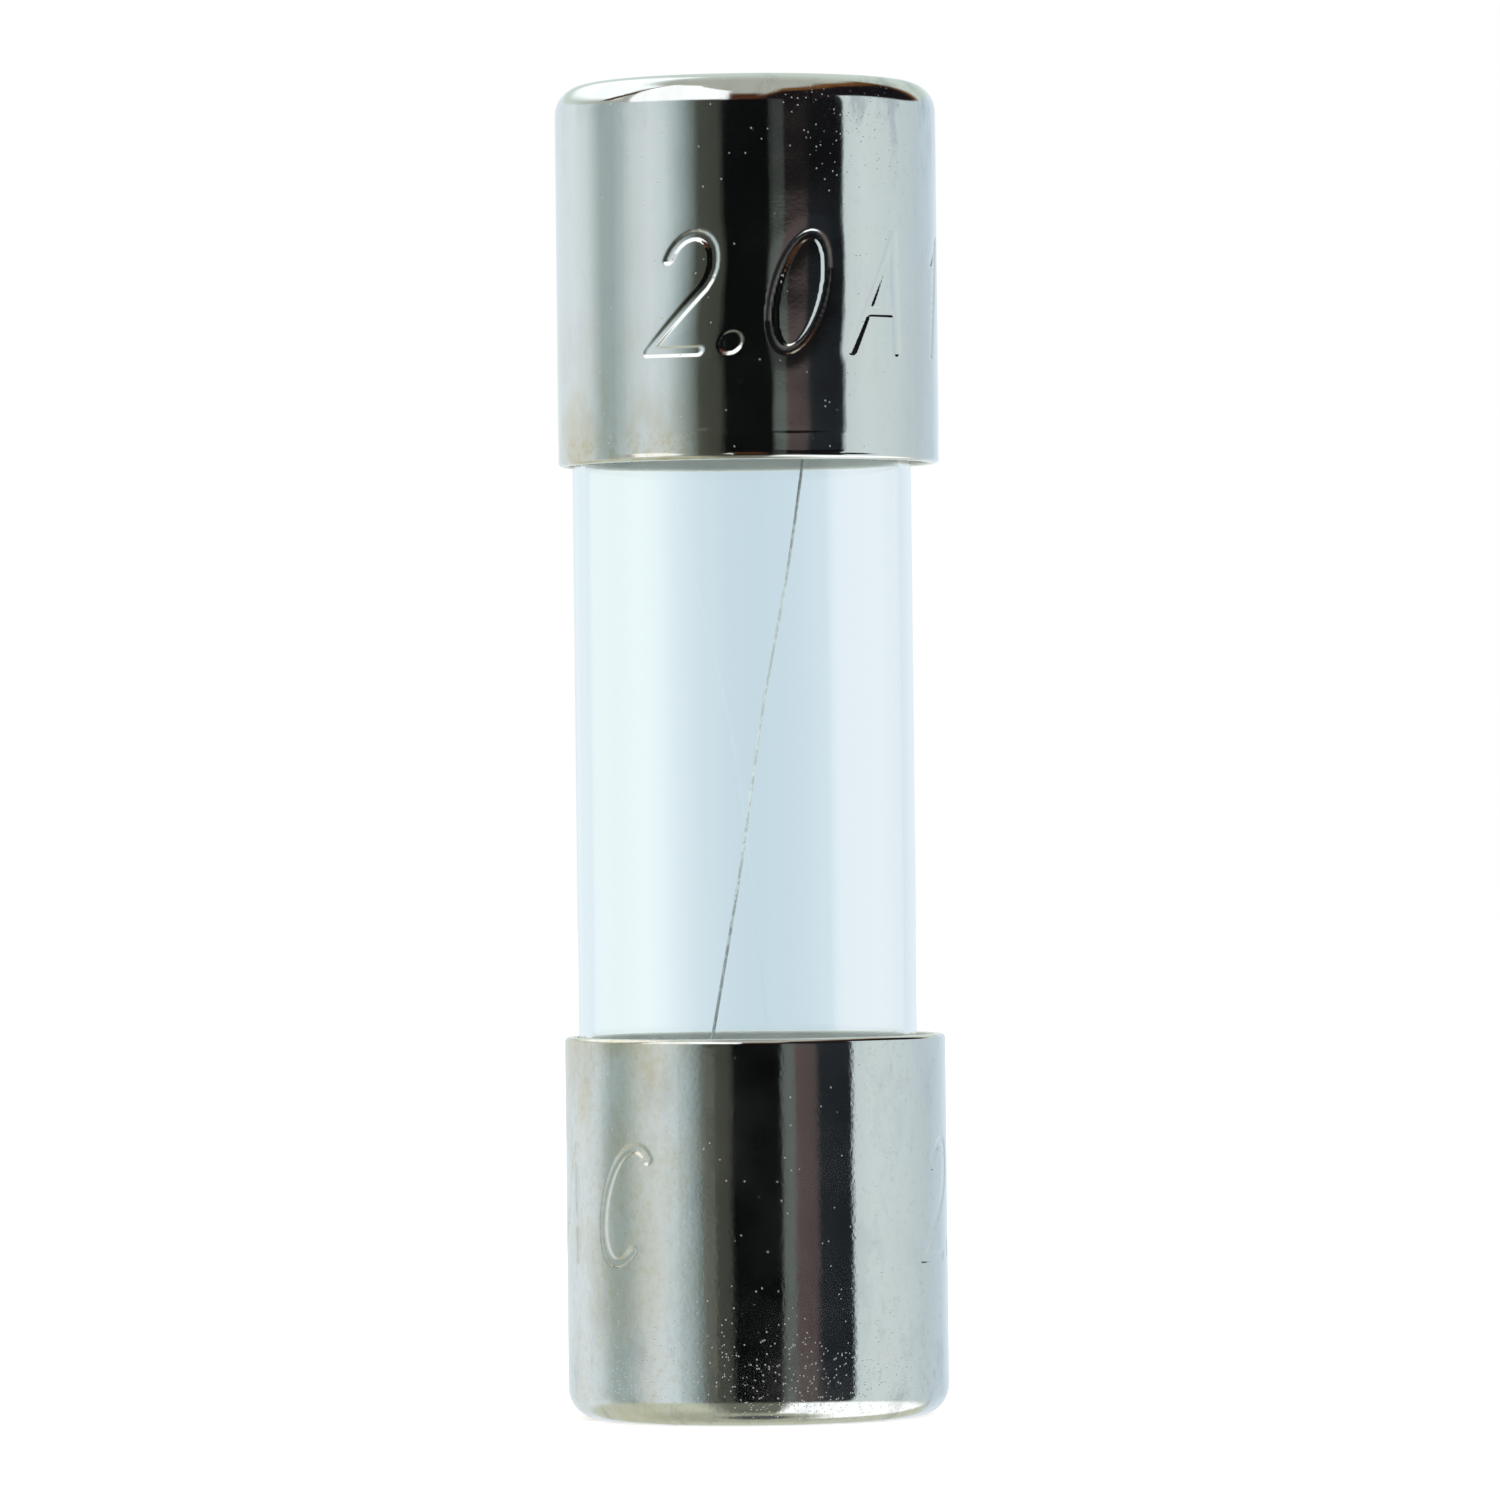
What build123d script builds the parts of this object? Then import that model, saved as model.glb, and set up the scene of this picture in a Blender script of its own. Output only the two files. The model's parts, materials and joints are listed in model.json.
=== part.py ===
from build123d import *

import os
from math import cos, pi, radians, sin, tan

# A small glass cartridge fuse: a clear tube with a metal cup on each end, and a fine wire strung
# inside it at a slant. Millimetres. The fuse stands on its lower end with +Z up, and its origin is
# the middle of that end's face. Angles go round +Z from +X, anticlockwise seen from above.

# The two end caps, drawn cups of one size
OVERALL_LENGTH = 22.2      # over both end faces
CAP_DIAMETER = 6.35
CAP_LENGTH = 6.35
CAP_WALL = 0.20            # side of the cup
CAP_END = 0.30             # end of the cup
CAP_CORNER = 0.50          # outside round between the side and the end
CAP_RIM_ROUND = 0.08       # outside round of the open rim
CAP_RIM_BREAK = 0.05       # inside edge of the open rim

# The glass tube
TUBE_CLEARANCE = 0.15      # radial room for the tube in a cap's bore
TUBE_WALL = 0.20
TUBE_END_GAP = 0.35        # from the tube's end to the inside of a cap's end
TUBE_EDGE = 0.08           # fire-polished round on each edge of both ends
TUBE_SIDE_GAP = 0.026      # the tube is soldered in off the caps' axis, and this gap is left there
TUBE_SHIFT_ANGLE = 166.0   # the way that it is shifted

# The solder pool in each cap
SOLDER_DEPTH = 1.20        # from the inside of the cap's end to the pool's surface

# The wire
WIRE_DIAMETER = 0.055
WIRE_CLEARANCE = 0.015     # between the wire and the glass that it is folded over
WIRE_TAIL = 1.40           # folded back along the outside of the tube, from the tube's end
UPPER_WIRE_ANGLE = 39.8    # where the wire crosses the upper rim
LOWER_WIRE_ANGLE = 232.3   # where it crosses the lower rim
# Slight kinks of the slanted run: share of the way up from the lower rim, and sideways along +X
WIRE_KINKS = ((0.27, 0.03), (0.40, 0.05), (0.53, -0.02), (0.65, 0.045), (0.77, -0.02))
KINK_SHARE = 0.45          # how much of the shorter run beside it each kink's arc uses

# Sizes that follow from those
CAP_RADIUS = CAP_DIAMETER / 2
BORE_RADIUS = CAP_RADIUS - CAP_WALL
BORE_CORNER = CAP_CORNER - CAP_WALL
TUBE_RADIUS = BORE_RADIUS - TUBE_CLEARANCE
TUBE_BORE_RADIUS = TUBE_RADIUS - TUBE_WALL
TUBE_SHIFT = Vector(TUBE_CLEARANCE - TUBE_SIDE_GAP, 0, 0).rotate(Axis.Z, TUBE_SHIFT_ANGLE)
TUBE_BOTTOM = CAP_END + TUBE_END_GAP
TUBE_TOP = OVERALL_LENGTH - TUBE_BOTTOM
WIRE_RADIUS = WIRE_DIAMETER / 2
WIRE_STANDOFF = WIRE_CLEARANCE + WIRE_RADIUS   # from the glass to the wire's centre line


def cup_form(radius, length, corner):
    """A solid cylinder that stands on z = 0, with its lower edge rounded."""
    body = Pos(0, 0, length / 2) * Cylinder(radius, length)
    return fillet(body.edges().group_by(Axis.Z)[0], corner)


def at_upper_end(shape):
    """A shape made for the lower end, turned over to the upper end."""
    return Pos(0, 0, OVERALL_LENGTH) * Rot(180, 0, 0) * shape


def rim_edges(cup):
    """The edges of the open rim, the inner one first."""
    return cup.edges().group_by(Axis.Z)[-1].sort_by(SortBy.LENGTH)


def end_cap():
    """The lower cap: a cup with an even wall, its open rim upwards."""
    outside = cup_form(CAP_RADIUS, CAP_LENGTH, CAP_CORNER)
    inside = Pos(0, 0, CAP_END) * cup_form(BORE_RADIUS, CAP_LENGTH - CAP_END, BORE_CORNER)
    cup = outside - inside
    cup = fillet(rim_edges(cup)[-1], CAP_RIM_ROUND)
    return fillet(rim_edges(cup)[0], CAP_RIM_BREAK)


def glass_tube():
    """The tube, off the caps' axis by its shift, with all four edges of its ends rounded."""
    length = TUBE_TOP - TUBE_BOTTOM
    tube = Cylinder(TUBE_RADIUS, length) - Cylinder(TUBE_BORE_RADIUS, length)
    tube = fillet(tube.edges().filter_by(GeomType.CIRCLE), TUBE_EDGE)
    return Pos(TUBE_SHIFT + Vector(0, 0, (TUBE_BOTTOM + TUBE_TOP) / 2)) * tube


def beside_tube(angle, radius, z):
    """A point at this angle and radius from the tube's own axis."""
    turn = radians(angle)
    return TUBE_SHIFT + Vector(radius * cos(turn), radius * sin(turn), z)


def over_rim(angle, rim, outward):
    """The wire's corners where it folds over a rim, from its free end to inside the bore."""
    outer = TUBE_RADIUS + WIRE_STANDOFF
    inner = TUBE_BORE_RADIUS - WIRE_STANDOFF
    beyond = rim + outward * WIRE_STANDOFF
    free_end = beside_tube(angle, outer, rim - outward * WIRE_TAIL)
    return [free_end, beside_tube(angle, outer, beyond), beside_tube(angle, inner, beyond)]


def wire_route():
    """The wire's corners from its lower free end to its upper one, and the bend radius at each."""
    lower = over_rim(LOWER_WIRE_ANGLE, TUBE_BOTTOM, -1)
    upper = over_rim(UPPER_WIRE_ANGLE, TUBE_TOP, 1)
    slant = upper[-1] - lower[-1]
    kinks = [lower[-1] + slant * share + Vector(aside, 0, 0) for share, aside in WIRE_KINKS]
    corners = lower + kinks + upper[::-1]
    fold = TUBE_EDGE + WIRE_STANDOFF
    radii = []
    for before, corner, after in zip(corners, corners[1:], corners[2:]):
        run = min((corner - before).length, (after - corner).length)
        turn = radians((corner - before).get_angle(after - corner))
        at_rim = corner in lower or corner in upper
        radii.append(fold if at_rim else KINK_SHARE * run / tan(turn / 2))
    return corners, radii


def fuse_wire():
    """A round wire along the route, one solid."""
    corners, radii = wire_route()
    path = FilletPolyline(*corners, radius=radii)
    section = Plane(path @ 0, z_dir=path % 0) * Circle(WIRE_RADIUS)
    wire = sweep(section, path=path)
    drawn = pi * WIRE_RADIUS**2 * path.length
    print(f"wire length {path.length:.3f} mm, volume over section times length {wire.volume / drawn:.4f}")
    return wire


def solder_pool():
    """The lower pool before the glass and the wire are cut from it: the cap's inside, filled."""
    return Pos(0, 0, CAP_END) * cup_form(BORE_RADIUS, SOLDER_DEPTH, BORE_CORNER)


tube = glass_tube()
wire = fuse_wire()
nodes = {
    "lower_end_cap": end_cap(),
    "upper_end_cap": at_upper_end(end_cap()),
    "glass_tube": tube,
    "fuse_wire": wire,
    "lower_solder": solder_pool() - tube - wire,
    "upper_solder": at_upper_end(solder_pool()) - tube - wire,
}

os.makedirs("parts", exist_ok=True)
for name, shape in nodes.items():
    export_step(shape, f"parts/{name}.step")
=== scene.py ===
import json
import math

import bpy
import numpy as np
from bpy.props import FloatProperty, FloatVectorProperty, PointerProperty, StringProperty
from mathutils import Matrix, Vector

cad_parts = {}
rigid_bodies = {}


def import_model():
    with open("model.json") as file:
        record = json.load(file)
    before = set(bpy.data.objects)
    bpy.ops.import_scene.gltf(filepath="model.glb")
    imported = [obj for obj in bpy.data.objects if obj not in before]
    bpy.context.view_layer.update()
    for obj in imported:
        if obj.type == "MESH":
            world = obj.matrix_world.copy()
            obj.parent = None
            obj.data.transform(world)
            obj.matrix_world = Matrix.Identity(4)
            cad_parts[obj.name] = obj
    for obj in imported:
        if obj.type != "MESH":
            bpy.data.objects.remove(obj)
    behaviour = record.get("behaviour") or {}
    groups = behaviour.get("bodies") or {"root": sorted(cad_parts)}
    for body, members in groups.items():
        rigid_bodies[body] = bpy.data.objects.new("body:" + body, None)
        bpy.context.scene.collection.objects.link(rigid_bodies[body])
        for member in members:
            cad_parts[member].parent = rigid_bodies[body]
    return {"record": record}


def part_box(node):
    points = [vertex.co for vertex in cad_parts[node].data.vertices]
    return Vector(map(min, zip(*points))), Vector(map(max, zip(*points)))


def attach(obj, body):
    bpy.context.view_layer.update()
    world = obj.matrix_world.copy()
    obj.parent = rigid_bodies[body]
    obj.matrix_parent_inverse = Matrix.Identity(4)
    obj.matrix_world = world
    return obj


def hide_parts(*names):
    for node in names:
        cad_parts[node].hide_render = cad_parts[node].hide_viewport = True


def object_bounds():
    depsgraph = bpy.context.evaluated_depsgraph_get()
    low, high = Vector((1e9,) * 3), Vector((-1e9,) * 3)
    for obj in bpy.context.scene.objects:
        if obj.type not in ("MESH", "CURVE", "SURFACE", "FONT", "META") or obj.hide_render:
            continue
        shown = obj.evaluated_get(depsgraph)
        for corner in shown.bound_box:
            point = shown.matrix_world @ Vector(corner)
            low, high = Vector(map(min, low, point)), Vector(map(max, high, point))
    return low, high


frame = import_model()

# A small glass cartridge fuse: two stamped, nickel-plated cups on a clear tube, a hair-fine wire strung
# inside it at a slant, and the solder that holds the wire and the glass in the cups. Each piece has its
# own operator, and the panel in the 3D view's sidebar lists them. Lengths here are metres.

bl_info = {
    "name": "Glass cartridge fuse",
    "version": (1, 0, 0),
    "blender": (4, 5, 0),
    "location": "3D View > Sidebar > Fuse",
    "description": "Builds a small glass cartridge fuse with stamped caps around its measured frame",
    "category": "Add Mesh",
}

MM = 0.001


# ---- sizes that the frame gives ----------------------------------------------------------------

def contact_radius():
    """The caps' outside radius, from the mount that fuse clips grip."""
    upper = next(m for m in frame["record"]["mounts"] if m["name"] == "upper_contact")
    return upper["dims"]["r_mm"] * MM


CAD_LOW, CAD_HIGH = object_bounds()
TUBE_LOW, TUBE_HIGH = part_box("glass_tube")
FUSE_LENGTH = CAD_HIGH.z
CAP_RADIUS = contact_radius()
CAP_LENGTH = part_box("lower_end_cap")[1].z
TUBE_CENTRE = ((TUBE_LOW.x + TUBE_HIGH.x) / 2, (TUBE_LOW.y + TUBE_HIGH.y) / 2)
TUBE_RADIUS = (TUBE_HIGH.x - TUBE_LOW.x) / 2
SOLDER_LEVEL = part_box("lower_solder")[1].z


# ---- settings that a user would change ---------------------------------------------------------

def length_setting(name, description, default):
    return FloatProperty(name=name, description=description, default=default, unit="LENGTH", precision=6)


def angle_setting(name, description, degrees):
    return FloatProperty(name=name, description=description, default=math.radians(degrees),
                         subtype="ANGLE")


def plain_setting(name, description, default):
    return FloatProperty(name=name, description=description, default=default, min=0.0)


def colour_setting(name, description, default):
    return FloatVectorProperty(name=name, description=description, default=default, size=3,
                               subtype="COLOR", min=0.0, max=1.0)


class FuseCapSettings(bpy.types.PropertyGroup):
    """Sizes and finish of the two end caps."""
    wall: length_setting("Side wall", "Thickness of the cup's side", 0.20 * MM)
    end: length_setting("End wall", "Thickness of the cup's end", 0.30 * MM)
    corner: length_setting("Corner", "Outside round between side and end", 0.50 * MM)
    rim_round: length_setting("Rim round", "Outside round of the open rim", 0.08 * MM)
    rim_break: length_setting("Rim break", "Inside edge of the open rim", 0.05 * MM)
    dish: length_setting("Dish", "How far the middle of the end face is hollowed", 0.015 * MM)
    bead_offset: length_setting("Press line", "Distance of the press tool's line from the rim", 0.46 * MM)
    bead_depth: length_setting("Press line depth", "Depth of the press tool's line", 0.004 * MM)
    plating: colour_setting("Plating", "Colour of clean nickel plating", (0.80, 0.80, 0.78))
    stain: colour_setting("Stain", "Colour of tarnished plating", (0.66, 0.58, 0.42))
    roughness: plain_setting("Roughness", "Roughness of clean plating", 0.045)
    film: plain_setting("Film", "Share of light that the worn lower cap's grey film scatters", 0.010)


class FuseStampSettings(bpy.types.PropertyGroup):
    """The rating that is stamped round each cap."""
    upper_text: StringProperty(name="Upper rating", description="Stamped round the upper cap",
                               default="2.0A125V")
    lower_text: StringProperty(name="Lower rating", description="Stamped round the lower cap",
                               default="2.0A125VAC")
    upper_start: angle_setting("Upper start", "First character, right of the front", -19.0)
    lower_start: angle_setting("Lower start", "First character, right of the front", 71.0)
    pitch: angle_setting("Pitch", "Turn from one character to the next", 30.0)
    height: length_setting("Height", "Height of the characters", 1.90 * MM)
    width: length_setting("Width", "Width of the characters", 1.02 * MM)
    stroke: length_setting("Stroke", "Width of the stamped groove", 0.175 * MM)
    depth: length_setting("Depth", "Depth of the stamped groove", 0.019 * MM)
    slope: length_setting("Side slope", "Width of the groove's sloping sides", 0.036 * MM)
    drag: length_setting("Drag", "How far the metal beside a groove is pulled in", 0.004 * MM)
    drag_width: length_setting("Drag width", "Width of the metal pulled in beside a groove", 0.32 * MM)
    slant: angle_setting("Slant", "Lean of the characters", 13.0)
    centre: length_setting("Centre line", "Characters' middle, from the cap's end", 3.62 * MM)


class FuseGlassSettings(bpy.types.PropertyGroup):
    """Sizes and tint of the glass tube."""
    wall: length_setting("Wall", "Thickness of the glass", 0.20 * MM)
    edge: length_setting("Fire polish", "Round of the tube's end edges", 0.08 * MM)
    tint: colour_setting("Tint", "Colour of light through one wall", (0.955, 0.985, 0.99))
    ior: plain_setting("Refraction", "Refractive index of the glass", 1.50)


class FuseWireSettings(bpy.types.PropertyGroup):
    """Sizes and colours of the fuse wire."""
    diameter: length_setting("Diameter", "Diameter of the wire", 0.055 * MM)
    clearance: length_setting("Clearance", "Gap between the wire and the glass it is folded over",
                              0.015 * MM)
    tail: length_setting("Tail", "Length folded back outside the tube", 1.40 * MM)
    upper_turn: angle_setting("Upper rim", "Where the wire crosses the upper rim", 39.8)
    lower_turn: angle_setting("Lower rim", "Where the wire crosses the lower rim", 232.3)
    bright: colour_setting("Bright", "Colour of the tinned wire", (0.86, 0.94, 0.93))
    dull: colour_setting("Dull", "Colour of the oxidised wire", (0.54, 0.59, 0.59))


class FuseSolderSettings(bpy.types.PropertyGroup):
    """Shape and colour of the solder pools."""
    creep: length_setting("Creep", "How far the solder climbs the walls above its middle", 0.12 * MM)
    colour: colour_setting("Colour", "Colour of reflowed solder", (0.62, 0.63, 0.64))


class FuseStageSettings(bpy.types.PropertyGroup):
    """Floor, light and camera."""
    floor: colour_setting("Floor", "Colour of the floor", (0.88, 0.88, 0.88))
    floor_size: length_setting("Floor size", "Side of the square floor", 1.2)
    light: plain_setting("Light", "Strength of the even light on matt surfaces", 1.7)
    distance: length_setting("Camera distance", "From the fuse's axis to the camera", 160.2 * MM)
    aside: length_setting("Camera aside", "How far left of the fuse's axis the camera stands", 0.032 * MM)
    view_width: length_setting("View width", "Width seen at the fuse's axis", 25.03 * MM)
    elevation: angle_setting("Camera elevation", "Camera's height angle", -0.3)
    roll: angle_setting("Camera roll", "Turn of the camera about its own line of sight", 0.64)


SETTINGS = {
    "fuse_caps": FuseCapSettings,
    "fuse_stamp": FuseStampSettings,
    "fuse_glass": FuseGlassSettings,
    "fuse_wire": FuseWireSettings,
    "fuse_solder": FuseSolderSettings,
    "fuse_stage": FuseStageSettings,
}


# ---- surfaces ----------------------------------------------------------------------------------

def smooth_step(low, high, value):
    """0 below low, 1 above high, and 3t^2 - 2t^3 between them."""
    t = np.clip((value - low) / (high - low), 0.0, 1.0)
    return t * t * (3.0 - 2.0 * t)


def arc_profile(centre_r, centre_z, radius, start, stop, steps):
    """(radius, height) along a circular arc: centre + radius * (cos a, sin a), start to stop in degrees."""
    a = np.radians(np.linspace(start, stop, steps))
    return np.stack([centre_r + radius * np.cos(a), centre_z + radius * np.sin(a)], axis=1)


def line_profile(start, stop, steps):
    """(radius, height) along a straight line, without its last point."""
    return np.linspace(start, stop, steps + 1)[:-1]


def ring_grid(turn, radius, height, centre_x=0.0, centre_y=0.0):
    """Rings round a vertical line: (centre + radius * (cos turn, sin turn), height), one row per ring."""
    x = centre_x + radius * np.cos(turn)
    y = centre_y + radius * np.sin(turn)
    return np.stack(np.broadcast_arrays(x, y, height), axis=-1)


def skin(name, grid, loop=False):
    """A closed mesh over a grid of rings.

    Each ring is joined to the next one with quads. The last ring is joined to the first one if loop is
    set, and otherwise the first and the last ring are each closed by a fan to their mean point."""
    rows, columns = grid.shape[:2]
    index = np.arange(rows * columns).reshape(rows, columns)
    lower = index if loop else index[:-1]
    upper = np.roll(index, -1, axis=0) if loop else index[1:]
    quads = np.stack([lower, np.roll(lower, -1, 1), np.roll(upper, -1, 1), upper], axis=-1)
    points = grid.reshape(-1, 3)
    corners = quads.ravel()
    sizes = np.full(quads.size // 4, 4)
    if not loop:
        first, last = len(points), len(points) + 1
        points = np.concatenate([points, [grid[0].mean(0), grid[-1].mean(0)]])
        start = np.stack([np.full(columns, first), np.roll(index[0], -1), index[0]], axis=-1)
        stop = np.stack([index[-1], np.roll(index[-1], -1), np.full(columns, last)], axis=-1)
        corners = np.concatenate([corners, start.ravel(), stop.ravel()])
        sizes = np.concatenate([sizes, np.full(2 * columns, 3)])
    mesh = bpy.data.meshes.new(name)
    mesh.vertices.add(len(points))
    mesh.vertices.foreach_set("co", points.astype(np.float32).ravel())
    mesh.loops.add(len(corners))
    mesh.loops.foreach_set("vertex_index", corners.astype(np.int32))
    mesh.polygons.add(len(sizes))
    mesh.polygons.foreach_set("loop_start", (np.cumsum(sizes) - sizes).astype(np.int32))
    mesh.polygons.foreach_set("use_smooth", np.ones(len(sizes), dtype=bool))
    mesh.update(calc_edges=True)
    return mesh


def turned_over(grid):
    """Rings for the upper end: mirrored in height, and reversed so that the faces still point outwards."""
    grid = grid[:, ::-1].copy()
    grid[..., 2] = FUSE_LENGTH - grid[..., 2]
    return grid


def forget(collection, name):
    """Removes what an earlier run of an operator made under this name."""
    old = collection.get(name)
    if old is not None:
        collection.remove(old)


def add_object(name, data):
    """A new object in the scene, in place of an older one of its name."""
    forget(bpy.data.objects, name)
    made = bpy.data.objects.new(name, data)
    bpy.context.scene.collection.objects.link(made)
    return made


def place_piece(name, mesh, material, node):
    """Adds a finished mesh as the piece that stands for a CAD node, riding on the fuse's one body."""
    mesh.materials.append(material)
    piece = add_object(name, mesh)
    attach(piece, "root")
    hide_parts(node)


# ---- the stamped rating ------------------------------------------------------------------------
# A character is a list of strokes, each a run of points in a box one wide and one high. Round
# stretches are arcs of ellipses.

def bow(centre_x, centre_y, half_width, half_height, start, stop, steps=14):
    """Points along an elliptical arc, start to stop in degrees, anticlockwise from the right."""
    a = np.radians(np.linspace(start, stop, steps))
    return np.stack([centre_x + half_width * np.cos(a), centre_y + half_height * np.sin(a)], axis=1)


def run(*points):
    """Points of a straight-sided stroke."""
    return np.array(points, dtype=float)


CHARACTERS = {
    "0": [bow(0.5, 0.5, 0.42, 0.5, 0, 360, 32)],
    "1": [run((0.30, 0.80), (0.62, 1.0), (0.62, 0.0))],
    "2": [np.concatenate([bow(0.5, 0.72, 0.40, 0.28, 165, -38), run((0.06, 0.0), (0.94, 0.0))])],
    "5": [np.concatenate([run((0.90, 1.0), (0.18, 1.0), (0.10, 0.56)),
                          bow(0.48, 0.33, 0.44, 0.33, 118, -145)])],
    "A": [run((0.0, 0.0), (0.5, 1.0), (1.0, 0.0)), run((0.18, 0.34), (0.82, 0.34))],
    "C": [bow(0.56, 0.5, 0.50, 0.5, 52, 308, 24)],
    "V": [run((0.0, 1.0), (0.5, 0.0), (1.0, 1.0))],
    ".": [run((0.5, 0.07), (0.5, 0.0701))],
}
POINT_PITCH = 0.42     # a decimal point is this share of another character's width
POINT_CLOSE = 0.82     # it stands closer to its neighbours by this factor
POINT_WIDEN = 0.12     # and its dot is this much of the height wider than a stroke


def distance_to_strokes(across, up, strokes):
    """Distance from each grid point to the nearest stroke: to every segment's nearest point."""
    nearest = np.full(np.broadcast_shapes(across.shape, up.shape), np.inf)
    for points in strokes:
        for (x0, y0), (x1, y1) in zip(points[:-1], points[1:]):
            dx, dy = x1 - x0, y1 - y0
            share = ((across - x0) * dx + (up - y0) * dy) / (dx * dx + dy * dy)
            share = np.clip(share, 0.0, 1.0)
            nearest = np.minimum(nearest, np.hypot(across - x0 - share * dx, up - y0 - share * dy))
    return nearest


def character_turns(text, start, pitch):
    """Each character's own turn round the cap; a decimal point takes less room than the others."""
    turns, at = [], start
    for mark, following in zip(text, text[1:] + " "):
        turns.append(at)
        at += pitch * ((1 + POINT_PITCH) / 2 * POINT_CLOSE if "." in (mark, following) else 1.0)
    return turns


def stamp_depth(stamp, text, start, front_turn, height):
    """How deep the stamped grooves are at each (turn from the front, height) of a grid.

    A groove is flat in the middle and rises over its sloping sides with a smooth step. The metal beside
    it is pulled in a little, by an amount that fades with the square of the distance left."""
    depth = np.zeros(np.broadcast_shapes(front_turn.shape, height.shape))
    up = height + stamp.height / 2
    size = np.array([stamp.width, stamp.height])
    for mark, turn in zip(text, character_turns(text, start, stamp.pitch)):
        around = (front_turn - turn + math.pi) % (2 * math.pi) - math.pi
        across = around * CAP_RADIUS - height * math.tan(stamp.slant)
        strokes = [(points - (0.5, 0.0)) * size for points in CHARACTERS[mark]]
        reach = (stamp.stroke + (POINT_WIDEN * stamp.height if mark == "." else 0.0)) / 2
        away = distance_to_strokes(across, up, strokes)
        groove = 1.0 - smooth_step(reach - stamp.slope, reach, away)
        pulled = np.clip(1.0 - (away - reach) / stamp.drag_width, 0.0, 1.0) ** 2
        depth = np.maximum(depth, stamp.depth * groove + stamp.drag * pulled)
    return depth


# ---- the end caps ------------------------------------------------------------------------------

STAMP_ROWS = 112                     # rings over the stamped band
STAMP_MARGIN = 0.36 * MM             # of that band, above and below the characters
FINE_STEP = math.radians(0.6)        # between columns where characters are
COARSE_STEP = math.radians(3.0)      # and elsewhere
COARSE_LEAST = 8                     # columns, however close the first and last characters come
END_HUB = 0.06 * MM                  # the innermost ring of the end face
INSIDE_HUB = 0.04 * MM               # and of the surface inside the cup
AFTER_ARC = 0.02 * MM                # from the end of an arc or a corner to the next ring
LINE_BAND = 0.08 * MM                # close rings each side of the press line
LINE_HALF = 0.05 * MM                # half the press line's width
LINE_SHOULDER = 0.10 * MM            # width of the slope past it


def column_turns(stamp, text, start):
    """Turns from the front, finely spaced where characters are and coarsely elsewhere."""
    turns = character_turns(text, start, stamp.pitch)
    lean = stamp.height * math.tan(stamp.slant)
    reach = ((stamp.width + lean + stamp.stroke) / 2 + stamp.drag_width) / CAP_RADIUS
    first, last = turns[0] - reach, turns[-1] + reach
    again = first + 2 * math.pi
    coarse_count = max(COARSE_LEAST, round((again - last) / COARSE_STEP))
    fine = np.arange(first, last, FINE_STEP)
    return np.concatenate([fine, np.linspace(last, again, coarse_count, endpoint=False)])


def cap_profile(caps, stamp):
    """(radius, height) round the cup's section, from the middle of its end face to its inside middle."""
    outer, bore = CAP_RADIUS, CAP_RADIUS - caps.wall
    flat, inner_corner = outer - caps.corner, caps.corner - caps.wall
    rim = CAP_LENGTH
    band_low = stamp.centre - stamp.height / 2 - STAMP_MARGIN
    band_high = stamp.centre + stamp.height / 2 + STAMP_MARGIN
    bead = rim - caps.bead_offset
    face = line_profile((END_HUB, 0.0), (flat, 0.0), 6)
    face[:, 1] = caps.dish * (1 - (face[:, 0] / flat) ** 2)
    return np.concatenate([
        face,
        arc_profile(flat, caps.corner, caps.corner, -90, 0, 15),
        line_profile((outer, caps.corner + AFTER_ARC), (outer, band_low), 4),
        line_profile((outer, band_low), (outer, band_high), STAMP_ROWS),
        line_profile((outer, band_high), (outer, bead - LINE_BAND), 5),
        line_profile((outer, bead - LINE_BAND), (outer, bead + LINE_BAND), 8),
        line_profile((outer, bead + LINE_BAND), (outer, rim - caps.rim_round - AFTER_ARC / 2), 5),
        arc_profile(outer - caps.rim_round, rim - caps.rim_round, caps.rim_round, 0, 90, 10),
        arc_profile(bore + caps.rim_break, rim - caps.rim_break, caps.rim_break, 90, 180, 6),
        line_profile((bore, rim - caps.rim_break - AFTER_ARC), (bore, caps.end + inner_corner), 4),
        arc_profile(bore - inner_corner, caps.end + inner_corner, inner_corner, 0, -90, 6),
        line_profile((bore - inner_corner - 2.5 * AFTER_ARC, caps.end), (INSIDE_HUB, caps.end), 3),
    ])


def cap_mesh(name, caps, stamp, text, start, upper):
    """A stamped cup: rings of the section's radius less the stamp's depth.

    The upper cup has the press line too: a shallow groove, and past it a radius that dips unevenly, by
    two sine waves round the cup. It is made as a lower cup and turned over, so its stamp is made mirrored
    in height."""
    profile = cap_profile(caps, stamp)
    radius, height = profile[:, :1], profile[:, 1:]
    front = column_turns(stamp, text, start)[None, :]
    turn = front - math.pi / 2
    outside = radius > CAP_RADIUS - 0.001 * MM
    from_middle = height - stamp.centre
    depth = stamp_depth(stamp, text, start, front, -from_middle if upper else from_middle)
    if upper:
        past_bead = height - (CAP_LENGTH - caps.bead_offset)
        uneven = (2.0 + np.sin(5 * turn) + np.sin(11 * turn)) * 0.75
        depth = depth + caps.bead_depth * np.clip(1 - np.abs(past_bead) / LINE_HALF, 0, 1)
        depth = depth + caps.bead_depth * uneven * smooth_step(0.0, LINE_SHOULDER, past_bead)
    grid = ring_grid(turn, radius - depth * outside, height)
    return skin(name, turned_over(grid) if upper else grid)


# ---- the tube, the wire and the solder ---------------------------------------------------------

TUBE_COLUMNS = 320


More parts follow.
